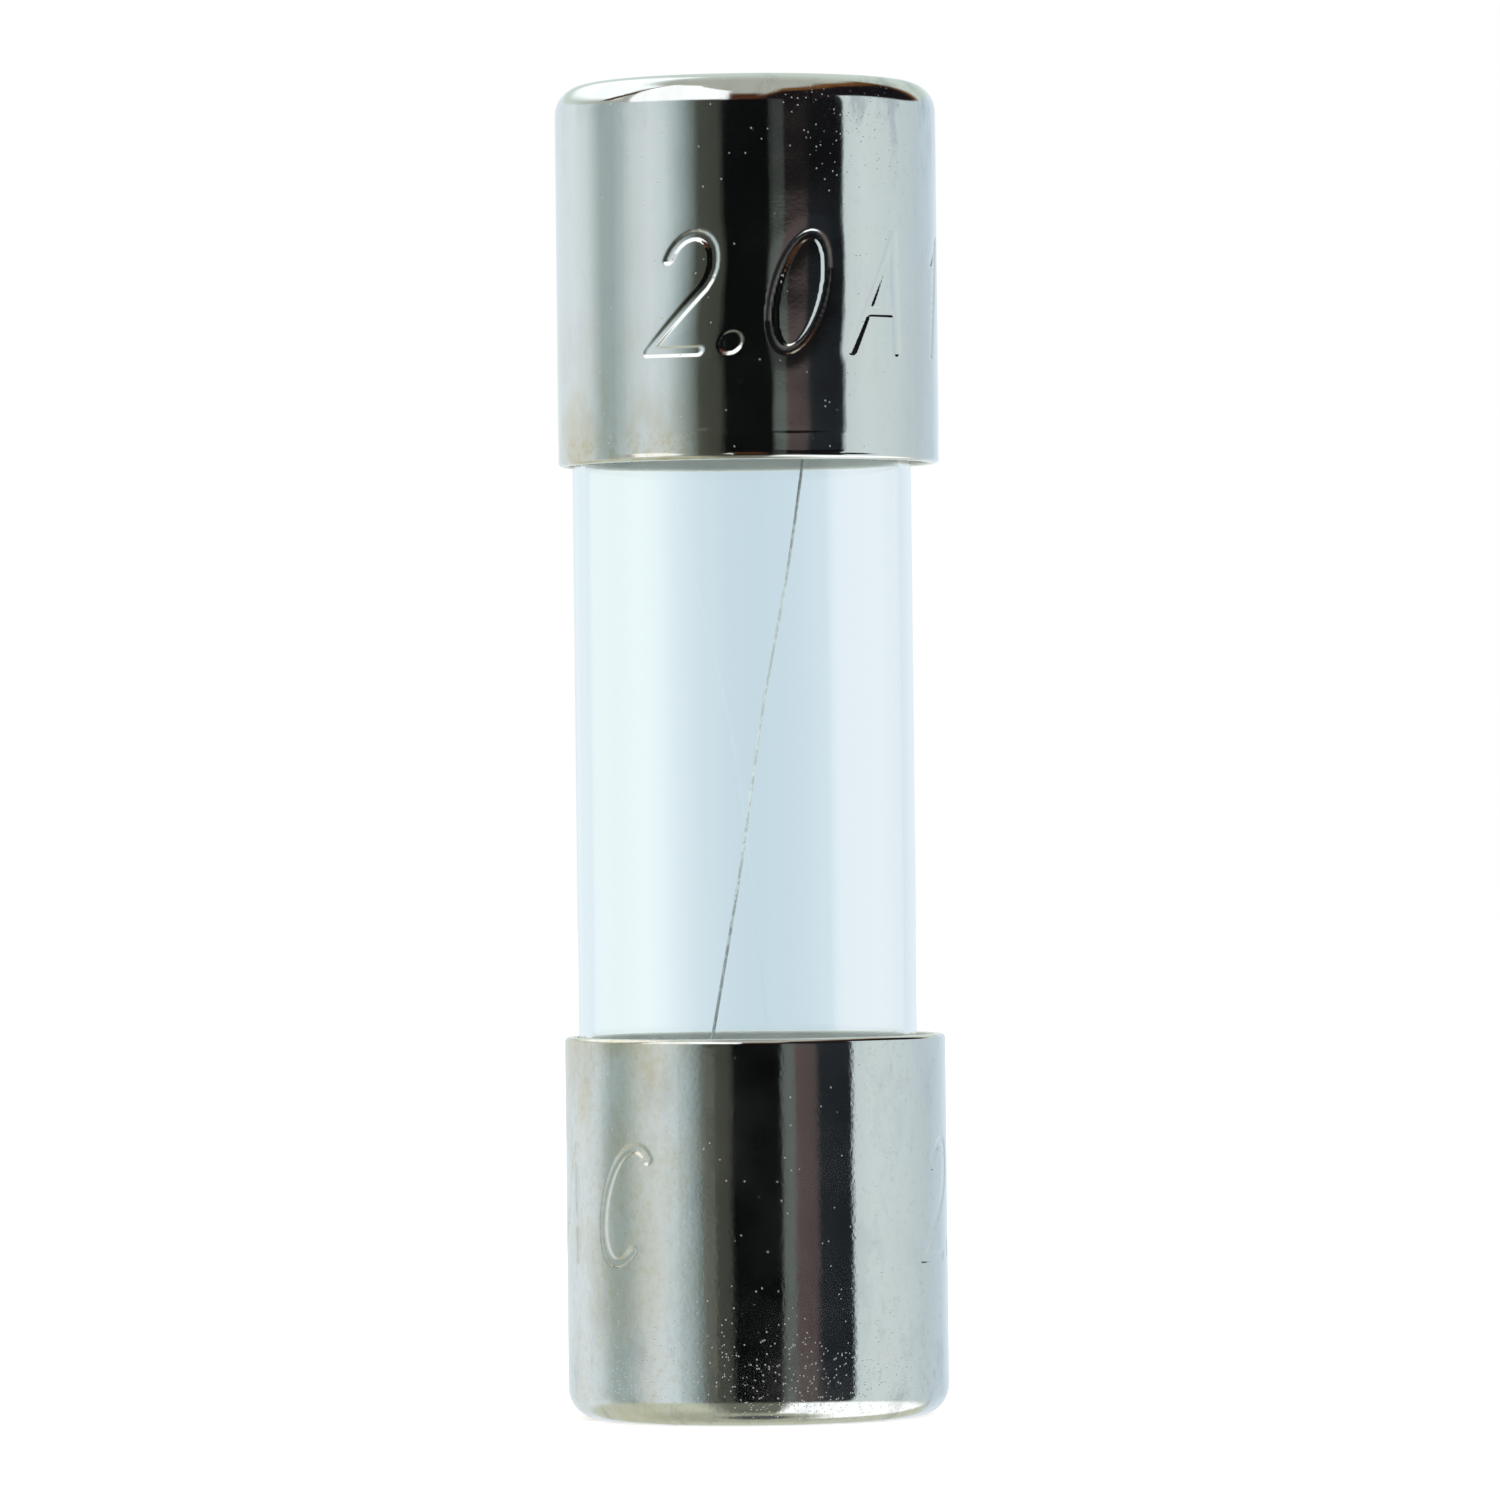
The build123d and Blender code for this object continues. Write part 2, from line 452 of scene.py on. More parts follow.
def tube_mesh(name, glass):
    """The tube's section, two sides and four rounded edges, carried once round its own axis."""
    outer, bore, edge = TUBE_RADIUS, TUBE_RADIUS - glass.wall, glass.edge
    low, high = TUBE_LOW.z, TUBE_HIGH.z
    section = np.concatenate([
        arc_profile(outer - edge, low + edge, edge, -90, 0, 8),
        line_profile((outer, low + 2 * edge), (outer, high - edge), 24),
        arc_profile(outer - edge, high - edge, edge, 0, 90, 8),
        arc_profile(bore + edge, high - edge, edge, 90, 180, 8),
        line_profile((bore, high - 2 * edge), (bore, low + edge), 24),
        arc_profile(bore + edge, low + edge, edge, 180, 270, 8),
    ])
    turn = np.linspace(0, 2 * math.pi, TUBE_COLUMNS, endpoint=False)[None, :]
    return skin(name, ring_grid(turn, section[:, :1], section[:, 1:], *TUBE_CENTRE), loop=True)


# Slight kinks of the wire's slanted run: share of the way up, and sideways
WIRE_KINKS = ((0.0, 0.0), (0.27, 0.03 * MM), (0.40, 0.05 * MM), (0.53, -0.02 * MM),
              (0.65, 0.045 * MM), (0.77, -0.02 * MM), (1.0, 0.0))
WIRE_STEP = 0.03 * MM    # between rings
WIRE_COLUMNS = 12
SLANT_POINTS = 300       # of the slanted run, before it is spaced evenly
KINK_SPREAD = 41         # of those points, over which a kink is smoothed
FOLD_STOP = -167         # degrees round the inner edge at which the wire leaves the glass


def fold_over_rim(wire, glass, turn, rim, outward):
    """Points from the wire's free end, round the glass's two rounded edges, to inside the bore."""
    standoff = wire.clearance + wire.diameter / 2
    round_radius = glass.edge + standoff
    outer, bore = TUBE_RADIUS, TUBE_RADIUS - glass.wall
    flat = np.concatenate([
        line_profile((outer + standoff, wire.tail), (outer + standoff, glass.edge), 30),
        arc_profile(outer - glass.edge, glass.edge, round_radius, 0, -90, 12),
        arc_profile(bore + glass.edge, glass.edge, round_radius, -90, FOLD_STOP, 12),
    ])
    x = TUBE_CENTRE[0] + flat[:, 0] * math.cos(turn)
    y = TUBE_CENTRE[1] + flat[:, 0] * math.sin(turn)
    return np.stack([x, y, rim - outward * flat[:, 1]], axis=1)


def wire_line(wire, glass):
    """The wire's centre line: fold, slanted run with its kinks, fold, evenly spaced and smoothed."""
    lower = fold_over_rim(wire, glass, wire.lower_turn, TUBE_LOW.z, -1)
    upper = fold_over_rim(wire, glass, wire.upper_turn, TUBE_HIGH.z, 1)[::-1]
    share = np.linspace(0, 1, SLANT_POINTS)[1:-1, None]
    slant = lower[-1] + (upper[0] - lower[-1]) * share
    shares, aside = np.array(WIRE_KINKS).T
    bend = np.interp(share[:, 0], shares, aside)
    kernel = np.hanning(KINK_SPREAD)
    padded = np.pad(bend, KINK_SPREAD // 2, mode="edge")
    slant[:, 0] += np.convolve(padded, kernel / kernel.sum(), mode="valid")
    points = np.concatenate([lower, slant, upper])
    length = np.concatenate([[0], np.cumsum(np.linalg.norm(np.diff(points, axis=0), axis=1))])
    even = np.linspace(0, length[-1], round(length[-1] / WIRE_STEP))
    return np.stack([np.interp(even, length, points[:, i]) for i in range(3)], axis=1)


def wire_mesh(name, wire, glass):
    """A circle carried along the centre line: point + radius * (cos a * normal + sin a * binormal).

    The normal is the tangent crossed with one fixed sideways direction, to which no tangent is parallel,
    and the binormal is the tangent crossed with the normal."""
    line = wire_line(wire, glass)
    tangent = np.gradient(line, axis=0)
    tangent /= np.linalg.norm(tangent, axis=1, keepdims=True)
    chord_turn = (wire.upper_turn + wire.lower_turn - math.pi) / 2
    sideways = np.array([-math.sin(chord_turn), math.cos(chord_turn), 0.0])
    normal = np.cross(tangent, sideways)
    normal /= np.linalg.norm(normal, axis=1, keepdims=True)
    binormal = np.cross(tangent, normal)
    turn = np.linspace(0, 2 * math.pi, WIRE_COLUMNS, endpoint=False)
    circle = np.cos(turn)[None, :, None] * normal[:, None] + np.sin(turn)[None, :, None] * binormal[:, None]
    return skin(name, line[:, None] + circle * wire.diameter / 2)


SOLDER_COLUMNS = 160
CAP_FILM = 0.002 * MM      # gap between the pool's mesh and the cup's
GLASS_FILM = 0.003 * MM    # and between it and the glass
EDGE_DROPS = (0.01 * MM, 0.05 * MM, 0.10 * MM)    # of the rings below the pool's edge, outside the glass
BORE_DROP = 0.06 * MM      # and of the one below it in the tube's bore


def solder_mesh(name, caps, glass, solder, upper):
    """A pool that fills the cup's end and wets the glass inside and out.

    Its section runs from the middle of the cup's end, up the cup, down and round the buried end of the
    tube, and up the bore to the pool's hollow middle. Rings near the tube go round the tube's own axis."""
    bore = CAP_RADIUS - caps.wall - CAP_FILM
    inner_corner = caps.corner - caps.wall
    low = caps.end + CAP_FILM
    out, inn = TUBE_RADIUS + GLASS_FILM, TUBE_RADIUS - glass.wall - GLASS_FILM
    tube_end = TUBE_LOW.z - GLASS_FILM
    level, creep = SOLDER_LEVEL, solder.creep
    first_drop, second_drop, third_drop = EDGE_DROPS
    on_cap = np.concatenate([
        line_profile((INSIDE_HUB, low), (bore - inner_corner, low), 4),
        arc_profile(bore - inner_corner, low + inner_corner, inner_corner, -90, 0, 6),
        line_profile((bore, low + inner_corner + AFTER_ARC), (bore, level), 3),
        run((bore, level - first_drop)),
    ])
    radii = inn * np.linspace(1, 0.04, 10)
    hollow = level - creep * (1 - (radii / inn) ** 4)
    on_tube = np.concatenate([
        run((out, level - first_drop), (out, level - second_drop)),
        line_profile((out, level - third_drop), (out, tube_end), 4),
        run((out - AFTER_ARC, tube_end), (inn + AFTER_ARC, tube_end)),
        line_profile((inn, tube_end + AFTER_ARC), (inn, level - BORE_DROP), 4),
        np.stack([radii, hollow], axis=1),
    ])
    section = np.concatenate([on_cap, on_tube])
    share = np.concatenate([np.zeros(len(on_cap)), np.ones(len(on_tube))])[:, None]
    turn = np.linspace(0, 2 * math.pi, SOLDER_COLUMNS, endpoint=False)[None, :]
    grid = ring_grid(turn, section[:, :1], section[:, 1:], share * TUBE_CENTRE[0], share * TUBE_CENTRE[1])
    return skin(name, turned_over(grid) if upper else grid)


# ---- shader maths ------------------------------------------------------------------------------

class Value:
    """A shader socket in Python arithmetic: an operator on it adds its Math node."""

    def __init__(self, shader, socket):
        self.shader = shader
        self.socket = socket

    def math(self, operation, *values, clamp=False):
        sockets = dict(enumerate(values))
        return self.shader.node("ShaderNodeMath", {"operation": operation, "use_clamp": clamp}, sockets)

    def __add__(self, other):
        return self.math("ADD", self, other)

    def __sub__(self, other):
        return self.math("SUBTRACT", self, other)

    def __rsub__(self, other):
        return self.math("SUBTRACT", other, self)

    def __mul__(self, other):
        return self.math("MULTIPLY", self, other)

    def __truediv__(self, other):
        return self.math("DIVIDE", self, other)

    def __neg__(self):
        return self.math("MULTIPLY", self, -1.0)

    def __abs__(self):
        return self.math("ABSOLUTE", self)

    def __lt__(self, other):
        return self.math("LESS_THAN", self, other)

    def __gt__(self, other):
        return self.math("GREATER_THAN", self, other)

    __radd__ = __add__
    __rmul__ = __mul__

    def step(self, low, high):
        """0 at low, 1 at high, smoothly between; low may be above high."""
        sockets = {"Value": self, "From Min": low, "From Max": high}
        return self.shader.node("ShaderNodeMapRange", {"interpolation_type": "SMOOTHSTEP"}, sockets)

    def over(self, limit):
        """How far this is above a limit, and 0 below it."""
        return self.math("MAXIMUM", self - limit, 0.0)


class Shader:
    """Adds nodes to one node tree."""

    def __init__(self, tree):
        tree.nodes.clear()
        self.tree = tree

    def node(self, kind, settings=None, sockets=None, output=0):
        """Adds a node of this kind: its settings first, then its sockets' values or links."""
        made = self.tree.nodes.new(kind)
        for name, value in (settings or {}).items():
            if name == "stops":
                self.set_stops(made.color_ramp, value)
            else:
                setattr(made, name, value)
        for name, value in (sockets or {}).items():
            if isinstance(value, Value):
                self.tree.links.new(value.socket, made.inputs[name])
            else:
                made.inputs[name].default_value = value
        return Value(self, made.outputs[output]) if made.outputs else None

    @staticmethod
    def set_stops(ramp, stops):
        """Gives a ramp its (position, colour) stops."""
        while len(ramp.elements) < len(stops):
            ramp.elements.new(1.0)
        for element, (position, colour) in zip(ramp.elements, stops):
            element.position = position
            element.color = (*colour, 1.0)

    def mix(self, factor, first, second):
        """The first colour where factor is 0, and the second where it is 1."""
        sockets = {0: factor, 6: self.rgba(first), 7: self.rgba(second)}
        return self.node("ShaderNodeMix", {"data_type": "RGBA"}, sockets, output=2)

    @staticmethod
    def rgba(colour):
        return colour if isinstance(colour, Value) else (*colour, 1.0)

    def parts(self, vector):
        """The three numbers of a vector."""
        first = self.node("ShaderNodeSeparateXYZ", sockets={0: vector})
        return [Value(self, first.socket.node.outputs[i]) for i in range(3)]

    def noise(self, vector, scale, detail=3.0, roughness=0.5, output="Fac"):
        """Blender's noise, between 0 and 1, with this many cells to the metre."""
        sockets = {"Vector": vector, "Scale": scale, "Detail": detail, "Roughness": roughness}
        return self.node("ShaderNodeTexNoise", sockets=sockets, output=output)

    def stretch(self, vector, factors):
        """A vector with each of its numbers multiplied."""
        return self.node("ShaderNodeVectorMath", {"operation": "MULTIPLY"}, {0: vector, 1: factors})

    def place(self):
        """Object coordinates, in metres."""
        return self.node("ShaderNodeTexCoord", output="Object")

    def bump(self, height):
        """The normal of a relief, from its height in millimetres."""
        return self.node("ShaderNodeBump", sockets={"Height": height, "Distance": MM, "Strength": 1.0})

    def surface(self, **sockets):
        """A Principled surface on the material's output."""
        made = self.node("ShaderNodeBsdfPrincipled",
                         sockets={name.replace("_", " "): value for name, value in sockets.items()})
        self.node("ShaderNodeOutputMaterial", sockets={"Surface": made})


def new_material(name):
    """(material, its shader), made afresh."""
    forget(bpy.data.materials, name)
    material = bpy.data.materials.new(name)
    material.use_nodes = True
    return material, Shader(material.node_tree)


GRIME = (0.52, 0.53, 0.55)
UNPOLISHED = (0.85, 0.88, 0.81)
FLUX = (0.42, 0.36, 0.26)


def nickel_plate(caps, upper):
    """Bright nickel over drawn brass: faint draw lines, pits that thicken towards the end's corner,
    brownish tarnish on the left side, fine mottling and grey smears, a grey film that is thickest on the
    lower cap, and a pale inside that was never polished."""
    material, s = new_material("nickel_plate_upper" if upper else "nickel_plate_lower")
    place = s.place()
    x, y, z = s.parts(place)
    from_end = FUSE_LENGTH - z if upper else z
    near_end = from_end.step(2.2 * MM, 0.3 * MM)
    left = x.step(0.2 * MM, -2.2 * MM)
    right = x.step(-0.2 * MM, 1.6 * MM)
    mottle = s.noise(place, 6500.0, 3.0, 0.7)
    # tarnish: blotches and fine mottling on the left, and on the upper cap only near the rim
    blotch = s.noise(s.stretch(place, (1.0, 1.0, 0.6)), 620.0, 5.0, 0.65)
    near_rim = from_end.step(3.4 * MM, CAP_LENGTH)
    line = CAP_LENGTH - caps.bead_offset
    past_line = from_end.step(line - 0.04 * MM, line + 0.04 * MM) * x.step(1.4 * MM, -0.6 * MM)
    spread = left * (near_rim if upper else 0.5 + 0.5 * near_rim)
    stained = blotch.step(0.38, 0.66) * (0.06 + 0.75 * spread)
    stained = stained + mottle.step(0.46, 0.66) * (0.35 * past_line if upper else 0.05 + 0.22 * left)
    # grime: grey smears, mostly near the end, and fine grey mottling on the right
    smear = s.noise(s.stretch(place, (1.0, 1.0, 0.45)), 1700.0, 6.0, 0.72)
    smeared = 0.10 + 0.6 * near_end * (0.15 + right) if upper else 0.20 + 0.4 * near_end
    grime = smear.step(0.48, 0.64) * smeared + mottle.step(0.56, 0.70) * right * (0.14 if upper else 0.24)
    # film: cloudy, thicker towards the lower end
    cloud = s.noise(place, 900.0, 4.0, 0.6).step(0.30, 0.75)
    film = cloud * (0.2 if upper else 0.7 + near_end) * caps.film
    # pits: the middles of a few of the cells, more of them near the corner
    cells = s.node("ShaderNodeTexVoronoi", {"voronoi_dimensions": "3D"},
                   {"Vector": place, "Scale": 30000.0}, output="Distance")
    chosen = s.parts(Value(s, cells.socket.node.outputs["Color"]))[0]
    toward_end = from_end.step(2.9 * MM, 0.2 * MM)
    crowd = s.noise(place, 800.0, 3.0).step(0.30, 0.64) * toward_end * toward_end
    pit = (chosen < crowd * (0.12 * right if upper else 0.23) + 0.006) * cells.step(0.44, 0.16)
    # the inside of the cup, which was never polished
    square = x * x + y * y
    mid_wall = CAP_RADIUS - caps.wall / 2
    below_side = square.math("SQRT", square).step(mid_wall + 0.01 * MM, mid_wall - 0.01 * MM)
    inside = below_side * from_end.step(0.55 * MM, 0.65 * MM)
    colour = s.mix(stained, tuple(caps.plating), tuple(caps.stain))
    colour = s.mix(grime, colour, GRIME)
    colour = s.mix(inside, colour, UNPOLISHED)
    smudge = s.noise(place, 900.0, 3.0).step(0.45, 0.8)
    roughness = caps.roughness + 0.05 * smudge + 0.12 * stained + 0.25 * pit + 0.06 * grime + 0.45 * inside
    lines = s.noise(s.stretch(place, (1.0, 1.0, 0.05)), 5200.0, 2.0)
    waves = s.noise(s.stretch(place, (1.0, 1.0, 0.35)), 620.0, 1.0)
    ripples = s.noise(s.stretch(place, (0.7, 0.7, 1.0)), 1000.0, 1.0)
    grit = s.noise(place, 15000.0, 2.0) * (0.0003 if upper else 0.0011)
    height = waves * 0.012 + ripples * 0.005 + lines * 0.0006 + grit + pit * -0.004
    s.surface(Base_Color=colour, Metallic=1.0 - film - 0.7 * inside, Roughness=roughness,
              Normal=s.bump(height))
    return material


def clear_glass(glass):
    """Clear drawn glass with the faintest draw lines along it."""
    material, s = new_material("clear_glass")
    place = s.place()
    lines = s.noise(s.stretch(place, (1.0, 1.0, 0.03)), 1500.0, 2.0)
    haze = s.noise(place, 500.0, 3.0).step(0.5, 0.8)
    s.surface(Base_Color=(*glass.tint, 1.0), Roughness=0.004 * haze, Transmission_Weight=1.0,
              IOR=glass.ior, Normal=s.bump(lines * 0.00005))
    return material


def wire_metal(wire):
    """Fine tinned wire: bright grains in the middle, oxidised towards both ends."""
    material, s = new_material("wire_metal")
    place = s.place()
    z = s.parts(place)[2]
    from_middle = abs(z - FUSE_LENGTH * 0.55) / (FUSE_LENGTH / 2)
    grain = s.noise(place, 13000.0, 2.0)
    dull = from_middle.step(0.16, 0.50) * 0.9 + grain.step(0.60, 0.44) * 0.6 - 0.15
    dull = dull.math("MULTIPLY", dull, 1.0, clamp=True)
    colour = s.mix(dull, tuple(wire.bright), tuple(wire.dull))
    height = s.noise(place, 24000.0, 2.0) * 0.004
    s.surface(Base_Color=colour, Metallic=0.35 + 0.5 * dull, Roughness=0.30 + 0.2 * dull,
              Normal=s.bump(height))
    return material


def reflowed_solder(solder):
    """Solder that has flowed: soft ripples, a few dull islands of flux."""
    material, s = new_material("reflowed_solder")
    place = s.place()
    ripple = s.noise(place, 1500.0, 3.0)
    flux = s.noise(place, 2600.0, 4.0).step(0.60, 0.72)
    colour = s.mix(flux * 0.6, tuple(solder.colour), FLUX)
    s.surface(Base_Color=colour, Metallic=1.0 - 0.7 * flux, Roughness=0.22 + 0.3 * flux,
              Normal=s.bump(ripple * 0.03))
    return material


def pale_floor(stage):
    """A matt floor, a touch uneven."""
    material, s = new_material("pale_floor")
    shade = s.noise(s.place(), 60.0, 3.0).step(0.2, 0.8)
    colour = s.mix(shade, tuple(0.985 * c for c in stage.floor), tuple(stage.floor))
    s.surface(Base_Color=colour, Roughness=0.9, Specular_IOR_Level=0.0)
    return material


# ---- the studio --------------------------------------------------------------------------------
# The room is a function of direction: its bearing, in degrees to the right of the camera, and its
# rise, in degrees above the horizon. These are the walls that upright metal reflects.
STUDIO_WALLS = (
    (-180, (0.83, 0.90, 0.93)),
    (-160, (0.78, 0.87, 0.93)),
    (-128, (0.81, 0.90, 0.95)),
    (-112, (0.70, 0.79, 0.82)),
    (-98, (0.40, 0.49, 0.49)),
    (-88, (0.39, 0.48, 0.49)),
    (-72, (0.66, 0.75, 0.77)),
    (-60, (0.75, 0.83, 0.87)),
    (-50, (0.66, 0.76, 0.79)),
    (-40, (0.37, 0.45, 0.46)),
    (-33, (0.18, 0.22, 0.21)),
    (-29, (0.070, 0.078, 0.062)),
    (-17, (0.055, 0.060, 0.050)),
    (-13, (0.004, 0.005, 0.005)),
    (14, (0.004, 0.005, 0.005)),
    (17, (0.12, 0.14, 0.13)),
    (22, (0.13, 0.15, 0.14)),
    (25, (0.105, 0.080, 0.078)),
    (36, (0.085, 0.070, 0.070)),
    (39, (0.020, 0.024, 0.029)),
    (59.5, (0.014, 0.018, 0.022)),
    (61.5, (0.64, 0.73, 0.76)),
    (75, (0.71, 0.80, 0.82)),
    (100, (0.66, 0.76, 0.79)),
    (125, (0.58, 0.68, 0.74)),
    (146, (0.61, 0.73, 0.81)),
    (162, (0.74, 0.85, 0.94)),
    (180, (0.83, 0.90, 0.93)),
)
SOFTBOX = (1.25, 1.30, 1.32)
SIDE_SOFTBOX = (1.25, 1.35, 1.38)
OVERHEAD = (0.46, 0.48, 0.43)
BEHIND_ABOVE = (0.66, 0.76, 0.70)
CEILING = (0.012, 0.010, 0.012)
CEILING_EDGE = (0.17, 0.075, 0.025)
CEILING_GAP = (0.09, 0.055, 0.035)
FRONT_ABOVE = (0.08, 0.03, 0.015)
TABLE_LEFT = (0.60, 0.64, 0.52)
TABLE_UNDER = (0.44, 0.46, 0.36)
TABLE_FRONT = (0.10, 0.11, 0.085)
UNDERNEATH = (0.10, 0.11, 0.11)
BLACK = (0.006, 0.006, 0.007)
LOW_LEFT = (0.155, 0.165, 0.14)
BACKDROP_MIDDLE = (0.67, 0.785, 0.86)
BACKDROP_LEFT = (0.96, 1.02, 1.02)
BACKDROP_FAR_LEFT = (0.78, 0.88, 0.91)
BACKDROP_RIGHT = (0.90, 0.93, 0.965)


def patch(bearing, rise, left, right, low, high, soft=2.0):
    """1 between two bearings and two rises, 0 outside, with soft edges; each may be a Value."""
    return (bearing.step(left - soft, left + soft) * bearing.step(right + soft, right - soft)
            * rise.step(low - soft, low + soft) * rise.step(high + soft, high - soft))


def walls(s, bearing, rise):
    """The walls at eye level, a dark stand that hides part of them a little above it, and a paler patch
    low on the left."""
    stops = [(degrees / 360 + 0.5, colour) for degrees, colour in STUDIO_WALLS]
    seen = s.node("ShaderNodeValToRGB", {"stops": stops}, {0: bearing / 360.0 + 0.5})
    seen = s.mix(patch(bearing, rise, 15, 24, 3, 30, 1.0) * 0.66, seen, BLACK)
    seen = s.mix(patch(bearing, rise, 23, 61, 3, 30, 1.0) * 0.95, seen, BLACK)
    return s.mix(patch(bearing, rise, -33, -25, -20, -1, 1.5) * 0.7, seen, LOW_LEFT)


def ceiling(s, bearing, rise, back):
    """Above: softboxes to the left, a dark ceiling to the right with a warm edge, grey overhead."""
    seen = s.mix(back.step(0.0, 0.8), OVERHEAD, BEHIND_ABOVE)
    seen = s.mix(patch(bearing, rise, -166, -88, 23, 60, 5.0), seen, SIDE_SOFTBOX)
    gap = patch(bearing + (40.0 - rise).over(0.0) * 0.75, rise, -87, -79, 20, 64, 1.5)
    seen = s.mix(gap, seen, CEILING_GAP)
    slanted = bearing + rise.over(45.0) * 1.8
    box = patch(bearing + rise * 0.22, rise, -72, 40, 10, 66) * slanted.step(-8.0, -12.0)
    dark = bearing - rise * 0.70
    top = rise + abs(bearing - 85.0) * 0.2
    seen = s.mix(patch(dark, top, -8, 200, 0, 64, 4.0) * bearing.step(140.0, 132.0), seen, CEILING_EDGE)
    seen = s.mix(patch(dark, top, -4, 200, 0, 54, 4.0) * bearing.step(134.0, 126.0), seen, CEILING)
    seen = s.mix(patch(bearing, rise, -40, 12, 0, 34, 6.0), seen, FRONT_ABOVE)
    return s.mix(box, seen, SOFTBOX)


def table(s, bearing, rise):
    """Below: grey to the left, dark in front, a softbox low on the right, and dark underneath."""
    seen = s.mix(rise.step(-45.0, -70.0), TABLE_LEFT, TABLE_UNDER)
    front = bearing.step(-48.0, -18.0) * bearing.step(70.0, 40.0)
    seen = s.mix(front * rise.step(-78.0, -60.0) * 0.9, seen, TABLE_FRONT)
    seen = s.mix(patch(bearing, rise, 20, 140, -69, -26, 5.0), seen, SOFTBOX)
    return s.mix(rise.step(-74.0, -84.0), seen, UNDERNEATH)


def studio_world(stage):
    """White to the camera, even light on matt surfaces, and the room's directions in what metal reflects."""
    forget(bpy.data.worlds, "studio")
    world = bpy.data.worlds.new("studio")
    world.use_nodes = True
    world.cycles.sampling_method = "NONE"
    s = Shader(world.node_tree)
    x, y, z = s.parts(s.node("ShaderNodeTexCoord", output="Generated"))
    bearing = x.math("ARCTAN2", x, -y) * math.degrees(1.0)
    rise = z.math("ARCSINE", z) * math.degrees(1.0)

    seen = walls(s, bearing, rise)
    # the top edge of the walls, in degrees of rise: higher on the right
    wall_top = 14.0 + 11.0 * bearing.step(58.0, 61.0) * bearing.step(125.0, 72.0)
    seen = s.mix((rise - wall_top).step(-2.0, 2.0), seen, ceiling(s, bearing, rise, y))
    seen = s.mix(rise.step(-20.0, -30.0), seen, table(s, bearing, rise))

    # straight through the glass: a pale backdrop, a little deeper in the middle, by degrees to the right
    aside = x.math("ARCTAN2", x, y) * math.degrees(1.0) - 0.4
    middle = aside.step(-4.5, 0.0) * (0.65 * aside.step(4.4, 0.0) + 0.35 * aside.step(2.6, 2.0))
    backdrop = s.mix(aside.step(-4.0, 4.0), BACKDROP_LEFT, BACKDROP_RIGHT)
    backdrop = s.mix(aside.step(-15.0, -20.0), backdrop, BACKDROP_FAR_LEFT)
    backdrop = s.mix(middle, backdrop, BACKDROP_MIDDLE)

    path = s.node("ShaderNodeLightPath")
    ask = {name: Value(s, path.socket.node.outputs[name]) for name in
           ("Is Camera Ray", "Diffuse Depth", "Is Transmission Ray", "Glossy Depth")}
    through = ask["Is Transmission Ray"] * (1.0 - 0.5 * (ask["Glossy Depth"] > 0.5))
    seen = s.mix(through, seen, backdrop)
    seen = s.mix(ask["Diffuse Depth"] > 0.5, seen, (stage.light,) * 3)
    seen = s.mix(ask["Is Camera Ray"], seen, (1.0, 1.0, 1.0))
    light = s.node("ShaderNodeBackground", sockets={"Color": seen, "Strength": 1.0})
    s.node("ShaderNodeOutputWorld", sockets={"Surface": light})
    bpy.context.scene.world = world


FLOOR_POINTS = 9    # along each side


def floor_mesh(size):
    """A flat square grid at height 0: x and y each run from -size/2 to size/2."""
    side = np.linspace(-size / 2, size / 2, FLOOR_POINTS)
    x, y = np.meshgrid(side, side)
    points = np.stack([x, y, np.zeros_like(x)], axis=-1).reshape(-1, 3)
    index = np.arange(FLOOR_POINTS**2).reshape(FLOOR_POINTS, FLOOR_POINTS)
    quads = np.stack([index[:-1, :-1], index[:-1, 1:], index[1:, 1:], index[1:, :-1]], axis=-1)
    mesh = bpy.data.meshes.new("floor")
    mesh.from_pydata(points.tolist(), [], quads.reshape(-1, 4).tolist())
    return mesh


def aim_camera(stage):
    """A long lens nearly level with the fuse's middle, rolled a little, that frames the whole fuse."""
    data = bpy.data.cameras.new("camera")
    data.sensor_width = 36.0
    data.lens = data.sensor_width * stage.distance / stage.view_width
    data.clip_start, data.clip_end = 0.005, 10.0
    camera = add_object("camera", data)
    back = np.array([0.0, -math.cos(stage.elevation), math.sin(stage.elevation)])
    level_up = np.array([0.0, math.sin(stage.elevation), math.cos(stage.elevation)])
    up = level_up * math.cos(stage.roll) + np.array([math.sin(stage.roll), 0.0, 0.0])
    right = np.cross(up, back)
    place = np.array([-stage.aside, 0.0, FUSE_LENGTH / 2]) + back * stage.distance
    axes = np.eye(4)
    axes[:3, 0] = right / np.linalg.norm(right)
    axes[:3, 2] = back
    axes[:3, 1] = np.cross(axes[:3, 2], axes[:3, 0])
    axes[:3, 3] = place
    camera.matrix_world = Matrix(axes.tolist())
    bpy.context.scene.camera = camera


# ---- operators ---------------------------------------------------------------------------------

class BuildCaps(bpy.types.Operator):
    """Build both stamped end caps"""
    bl_idname = "fuse.build_caps"
    bl_label = "End caps"

    def execute(self, context):
        caps, stamp = context.scene.fuse_caps, context.scene.fuse_stamp
        for end, text, start in (("upper", stamp.upper_text, stamp.upper_start),
                                 ("lower", stamp.lower_text, stamp.lower_start)):
            upper = end == "upper"
            name = f"{end}_cap_stamped"
            mesh = cap_mesh(name, caps, stamp, text, start, upper)
            place_piece(name, mesh, nickel_plate(caps, upper), f"{end}_end_cap")
        return {"FINISHED"}


class BuildTube(bpy.types.Operator):
    """Build the clear glass tube"""
    bl_idname = "fuse.build_tube"
    bl_label = "Glass tube"

    def execute(self, context):
        glass = context.scene.fuse_glass
        mesh = tube_mesh("tube_drawn", glass)
        place_piece("tube_drawn", mesh, clear_glass(glass), "glass_tube")
        return {"FINISHED"}


